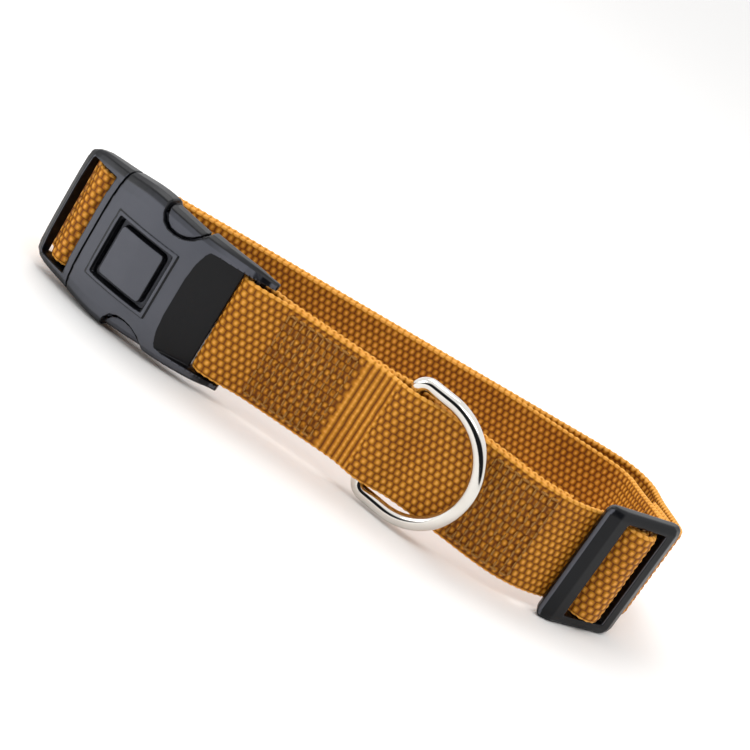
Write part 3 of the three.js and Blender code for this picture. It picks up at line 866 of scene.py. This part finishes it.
# %% Yarn crests, each second column moved on by half a pick outside the ribs
stray = add(tree, "TexNoise", {"Vector": cloth, "Scale": 420.0, "Detail": 1.0})
wander = add(tree, "Math", (stray.outputs["Fac"], 0.2, -0.1), operation="MULTIPLY_ADD")
u = add(tree, "Math", (length_way, 1 / (PICK * MM)), operation="MULTIPLY")
v = add(tree, "Math", (width_way, 1 / (WARP * MM)), operation="MULTIPLY")
column = add(tree, "Math", [v], operation="FLOOR")
column = add(tree, "Math", [column], operation="ABSOLUTE")
odd = add(tree, "Math", (column, 2.0), operation="MODULO")
odd = add(tree, "Math", (odd, 0.5), operation="MULTIPLY")
ribs = window(tree, length_way, RIBS[0] * MM, RIBS[1] * MM, RIB_FADE * MM)
plain = add(tree, "Math", (1.0, ribs), operation="SUBTRACT")
shift = add(tree, "Math", (odd, plain), operation="MULTIPLY")
u_here = add(tree, "Math", (u, shift), operation="ADD")
u_here = add(tree, "Math", (u_here, wander), operation="ADD")
crest = crests(tree, u_here, 1)
rib_flank = add(tree, "Math", (ribs, RIB_FLANK), operation="MULTIPLY")
flank = add(tree, "Math", (crests(tree, v, 1), rib_flank), operation="MAXIMUM")
plump = add(tree, "Math", (crest, 1.1), operation="POWER")
round_side = add(tree, "Math", (flank, 0.5), operation="POWER")
knuckle = add(tree, "Math", (plump, round_side), operation="MULTIPLY")
print("nodes for the yarns:", len(tree.nodes))

# %% Selvedges, where the cross yarns turn back, with a painted highlight along both edges
SELVEDGE_FADE = 0.3 * MM
EDGE_ONE, FACE_TWO = flat_width / 2 * MM, (flat_width / 2 + edge_length) * MM
EDGE_TWO = (flat_width * 1.5 + edge_length) * MM
edge_one = window(tree, width_way, EDGE_ONE, FACE_TWO, SELVEDGE_FADE)
edge_two = window(tree, width_way, EDGE_TWO, EDGE_TWO + edge_length * MM, SELVEDGE_FADE)
selvedge_highlight = add(tree, "Math", (edge_one, edge_two), operation="ADD")
# The rope at the edges is lifted towards the light end of the ramp, a painted highlight over its
# own crests.
rope_and_highlight = add(tree, "Math", (crest, 0.7), operation="POWER")
rope_and_highlight = add(tree, "Math", (rope_and_highlight, 0.5, 0.5), operation="MULTIPLY_ADD")
knuckle = add(tree, "Mix", {"Factor": selvedge_highlight, "A": knuckle, "B": rope_and_highlight})

# %% Fibres, uneven dye, and the pits where the sewing pulls the cloth in, which get painted shade
FIBRES_ALONG, FIBRES_ACROSS = 900.0, 5200.0
PULL_ALONG, PULL_ACROSS = 1.75 * MM, 2.1 * MM
fibre_x = add(tree, "Math", (length_way, FIBRES_ALONG), operation="MULTIPLY")
fibre_y = add(tree, "Math", (width_way, FIBRES_ACROSS), operation="MULTIPLY")
stretched = add(tree, "CombineXYZ", (fibre_x, fibre_y))
fibre = add(tree, "TexNoise", {"Vector": stretched, "Scale": 1.0, "Detail": 2.0})
patch = add(tree, "TexNoise", {"Vector": cloth, "Scale": 75.0, "Detail": 4.0})
blocks = [window(tree, length_way, a * MM, b * MM, 0.8 * MM) for a, b in SEWN]
sewn = add(tree, "Math", blocks, operation="ADD")
pull_x = add(tree, "Math", (crests(tree, length_way, PULL_ALONG), 6.0), operation="POWER")
pull_y = add(tree, "Math", (crests(tree, width_way, PULL_ACROSS), 6.0), operation="POWER")
pulls = add(tree, "Math", (pull_x, pull_y), operation="MULTIPLY")
pulls = add(tree, "Math", (pulls, sewn), operation="MULTIPLY")

# %% Tone from the crests down to the pits, a painted highlight and painted shade, and the dye's colours
fibre_tone = add(tree, "Math", (fibre.outputs["Fac"], 0.5, -0.25), operation="MULTIPLY_ADD")
patch_tone = add(tree, "Math", (patch.outputs["Fac"], 0.4, -0.2), operation="MULTIPLY_ADD")
# The knuckle's height sets the tone, so crests are painted lighter and pits painted darker.
tone = add(tree, "Math", (knuckle, fibre_tone), operation="ADD")
tone = add(tree, "Math", (tone, patch_tone), operation="ADD")
# Sewn blocks a little darker, stitch pits darkened as painted shade, selvedges lifted as a painted
# highlight.
for mask, share in ((sewn, -0.1), (pulls, -0.5), (selvedge_highlight, 0.08)):
    tone = add(tree, "Math", (mask, share, tone), operation="MULTIPLY_ADD")
ramp = add(tree, "ValToRGB", {"Fac": tone})
stops_of = ramp.color_ramp.elements
stops_of[0].position, stops_of[0].color = 0.05, linear("#784006")
stops_of[1].position, stops_of[1].color = 1.0, linear("#EEAA48")
for spot, colour in ((0.35, "#A0600A"), (0.7, "#C88018")):
    stops_of.new(spot).color = linear(colour)
tree.links.new(ramp.outputs["Color"], shader.inputs["Base Color"])

# %% Fine relief and gloss
relief = add(tree, "Math", (fibre.outputs["Fac"], 0.25, knuckle), operation="MULTIPLY_ADD")
relief = add(tree, "Math", (pulls, -0.8, relief), operation="MULTIPLY_ADD")
bump = add(tree, "Bump", {"Height": relief, "Strength": 1.0, "Distance": 0.2 * MM})
tree.links.new(bump.outputs["Normal"], shader.inputs["Normal"])
shader.inputs["Roughness"].default_value = 0.62
shader.inputs["Specular IOR Level"].default_value = 0.2
shader.inputs["Sheen Weight"].default_value = 0.06
shader.inputs["Sheen Roughness"].default_value = 0.4
shader.inputs["Sheen Tint"].default_value = linear("#F0B060")
shader.inputs["IOR"].default_value = 1.53
webbing.data.materials.clear()
webbing.data.materials.append(web_mat)
print("nodes in the nylon:", len(tree.nodes))

# %% [markdown]
# Bonded sewing thread: the same dye, a little paler and tighter, with a fine twist.

# %% Bonded thread
thread_mat, tree, shader = material("bonded_nylon_thread")
place_in = add(tree, "TexCoord").outputs["Object"]
twist = add(tree, "TexWave", {"Vector": place_in, "Scale": 900.0, "Distortion": 2.0})
ramp = add(tree, "ValToRGB", {"Fac": twist.outputs["Fac"]})
ramp.color_ramp.elements[0].color = linear("#7C4C0C")
ramp.color_ramp.elements[1].color = linear("#BC8222")
tree.links.new(ramp.outputs["Color"], shader.inputs["Base Color"])
bump = add(tree, "Bump", {"Height": twist.outputs["Fac"], "Strength": 0.6, "Distance": 0.1 * MM})
tree.links.new(bump.outputs["Normal"], shader.inputs["Normal"])
shader.inputs["Roughness"].default_value = 0.5
shader.inputs["IOR"].default_value = 1.53
stitch.data.materials.append(thread_mat)
print("nodes in the thread:", len(tree.nodes))

# %% [markdown]
# Moulded acetal: a hard, slightly waxy black plastic. The tool was spark eroded, so the skin
# has a very fine grain that turns sharp reflections into a satin one. The faces that look to
# the front are painted a lighter grey, a painted sheen, and are a little rougher. The ramp, the
# slots and the groove keep the plain black.

# %% Which faces of the plastic get the painted sheen: those that look to the front
plastic_mat, tree, shader = material("moulded_acetal_black")
coordinates = add(tree, "TexCoord")
place_in = coordinates.outputs["Object"]
facing = add(tree, "SeparateXYZ", [coordinates.outputs["Normal"]])
before_ramp = add(tree, "MapRange", (facing.outputs["X"], 0.13, 0.31, 1.0, 0.0),
                  interpolation_type="SMOOTHSTEP")
in_front = add(tree, "MapRange", (facing.outputs["Y"], -0.93, -0.72, 1.0, 0.0),
               interpolation_type="SMOOTHSTEP")
painted_sheen_faces = add(tree, "Math", (before_ramp, in_front), operation="MULTIPLY")

# %% Satin black plastic
grain = add(tree, "TexNoise", {"Vector": place_in, "Scale": 4200.0, "Detail": 2.0})
wear = add(tree, "TexNoise", {"Vector": place_in, "Scale": 110.0, "Detail": 4.0})
# The front faces are painted grey here, a painted sheen, and the light grey end of the ramp is
# that sheen; the rest keeps the plain black.
tone = add(tree, "Math", (painted_sheen_faces, 0.8), operation="MULTIPLY")
tone = add(tree, "Math", (wear.outputs["Fac"], 0.2, tone), operation="MULTIPLY_ADD")
shade = add(tree, "ValToRGB", {"Fac": tone})
shade.color_ramp.elements[0].color = linear("#050609")
shade.color_ramp.elements.new(0.2).color = linear("#0D0F14")
shade.color_ramp.elements[2].color = linear("#5E6068")
tree.links.new(shade.outputs["Color"], shader.inputs["Base Color"])
rough = add(tree, "Math", (painted_sheen_faces, 0.14, 0.24), operation="MULTIPLY_ADD")
rough = add(tree, "Math", (wear.outputs["Fac"], 0.16, rough), operation="MULTIPLY_ADD")
tree.links.new(rough.outputs[0], shader.inputs["Roughness"])
bump = add(tree, "Bump", {"Height": grain.outputs["Fac"], "Strength": 0.25, "Distance": 0.06 * MM})
tree.links.new(bump.outputs["Normal"], shader.inputs["Normal"])
shader.inputs["IOR"].default_value = 1.48
shader.inputs["Specular IOR Level"].default_value = 0.24
for part in (socket, plug, slider):
    part.data.materials.append(plastic_mat)
print("nodes in the plastic:", len(tree.nodes))

# %% [markdown]
# Bright nickel plate: nearly a mirror, slightly warm, with faint cloudiness from polishing.

# %% Nickel plate
nickel_mat, tree, shader = material("bright_nickel_plate")
place_in = add(tree, "TexCoord").outputs["Object"]
cloud = add(tree, "TexNoise", {"Vector": place_in, "Scale": 260.0, "Detail": 3.0})
rough = add(tree, "Math", (cloud.outputs["Fac"], 0.08, 0.05), operation="MULTIPLY_ADD")
tree.links.new(rough.outputs[0], shader.inputs["Roughness"])
shade = add(tree, "ValToRGB", {"Fac": cloud.outputs["Fac"]})
shade.color_ramp.elements[0].color = linear("#CFCBC4")
shade.color_ramp.elements[1].color = linear("#E2DFD9")
tree.links.new(shade.outputs["Color"], shader.inputs["Base Color"])
shader.inputs["Metallic"].default_value = 1.0
ring.data.materials.clear()
ring.data.materials.append(nickel_mat)
print("nodes in the nickel:", len(tree.nodes))

# %% [markdown]
# ## Floor, light and camera
# A pale floor and large soft lights, as in a light tent. The room is bright all round and dark
# only low in front, which gives the bright ring its black core. The camera looks from a little
# above the collar's own surface and is rolled, because the collar leans that way in the picture.

# %% Floor
bpy.ops.object.select_all(action="DESELECT")
bpy.ops.mesh.primitive_plane_add(size=12, location=(0, 0, 0))
floor = bpy.context.object
floor.name = "floor"
floor_mat, tree, shader = material("pale_paper")
shader.inputs["Base Color"].default_value = linear("#F8F7F5")
shader.inputs["Roughness"].default_value = 0.9
floor.data.materials.append(floor_mat)


# %% Lights
def area(name, location, target, size, power):
    """A white soft light of a size in metres, aimed at a point."""
    bpy.ops.object.light_add(type="AREA", location=location)
    lamp = bpy.context.object
    lamp.name = name
    lamp.data.shape = "RECTANGLE"
    lamp.data.size, lamp.data.size_y = size
    lamp.data.energy = power
    aim = Vector(target) - Vector(location)
    lamp.rotation_euler = aim.to_track_quat("-Z", "Y").to_euler()
    print(name, "is", round(aim.length, 2), "m from the collar")


area("key_above", (-0.3, 0.25, 0.8), (0, 0, 0.02), (0.45, 0.45), 1.8)
area("front_fill", (0.12, -0.42, 0.85), (0, 0, 0.02), (0.6, 0.25), 1.8)
area("left_fill", (-0.8, -0.35, 0.35), (-0.04, 0, 0.02), (0.25, 0.4), 1.6)

# %% A bright room that is dark only low in front, where the photographer stands
DARK_TOWARDS = (0.12, -0.99, 0.0)
world = bpy.data.worlds.new("tent")
bpy.context.scene.world = world
world.use_nodes = True
tree = world.node_tree
ray = add(tree, "TexCoord").outputs["Generated"]
split = add(tree, "SeparateXYZ", [ray])
aside = add(tree, "VectorMath", (ray, DARK_TOWARDS), operation="DOT_PRODUCT")
ahead = add(tree, "MapRange", (aside.outputs["Value"], 0.38, 0.62, 0.0, 1.0),
            interpolation_type="SMOOTHSTEP")
low = add(tree, "MapRange", (split.outputs["Z"], 0.82, 0.66, 0.0, 1.0),
          interpolation_type="SMOOTHSTEP")
dark = add(tree, "Math", (ahead, low), operation="MULTIPLY")
light = add(tree, "ValToRGB", {"Fac": dark})
light.color_ramp.elements[0].color = linear("#FBFBFC")
light.color_ramp.elements[1].color = linear("#1C1D20")
background = tree.nodes["Background"]
tree.links.new(light.outputs["Color"], background.inputs["Color"])
background.inputs["Strength"].default_value = 1.2
print("nodes in the room:", len(tree.nodes))

# %% Camera
AZIMUTH, ELEVATION, ROLL = math.radians(-3.0), math.radians(18.5), math.radians(33.0)
DISTANCE = 0.45
AIM = Vector((0.001, 0.001, 0.0175))
LENS = 92
forward = Vector((
    math.sin(AZIMUTH) * math.cos(ELEVATION),
    math.cos(AZIMUTH) * math.cos(ELEVATION),
    -math.sin(ELEVATION),
))
right = forward.cross(Vector((0, 0, 1))).normalized()
up = right.cross(forward)
rolled_right = right * math.cos(ROLL) + up * math.sin(ROLL)
rolled_up = up * math.cos(ROLL) - right * math.sin(ROLL)
bpy.ops.object.camera_add()
camera = bpy.context.object
camera.name = "camera"
basis = Matrix((rolled_right, rolled_up, -forward)).transposed()
camera.matrix_world = Matrix.Translation(AIM - forward * DISTANCE) @ basis.to_4x4()
camera.data.lens = LENS
camera.data.clip_start = 0.01
bpy.context.scene.camera = camera
bpy.context.scene.view_settings.view_transform = "Standard"
print("camera at", [round(c, 3) for c in camera.matrix_world.translation])
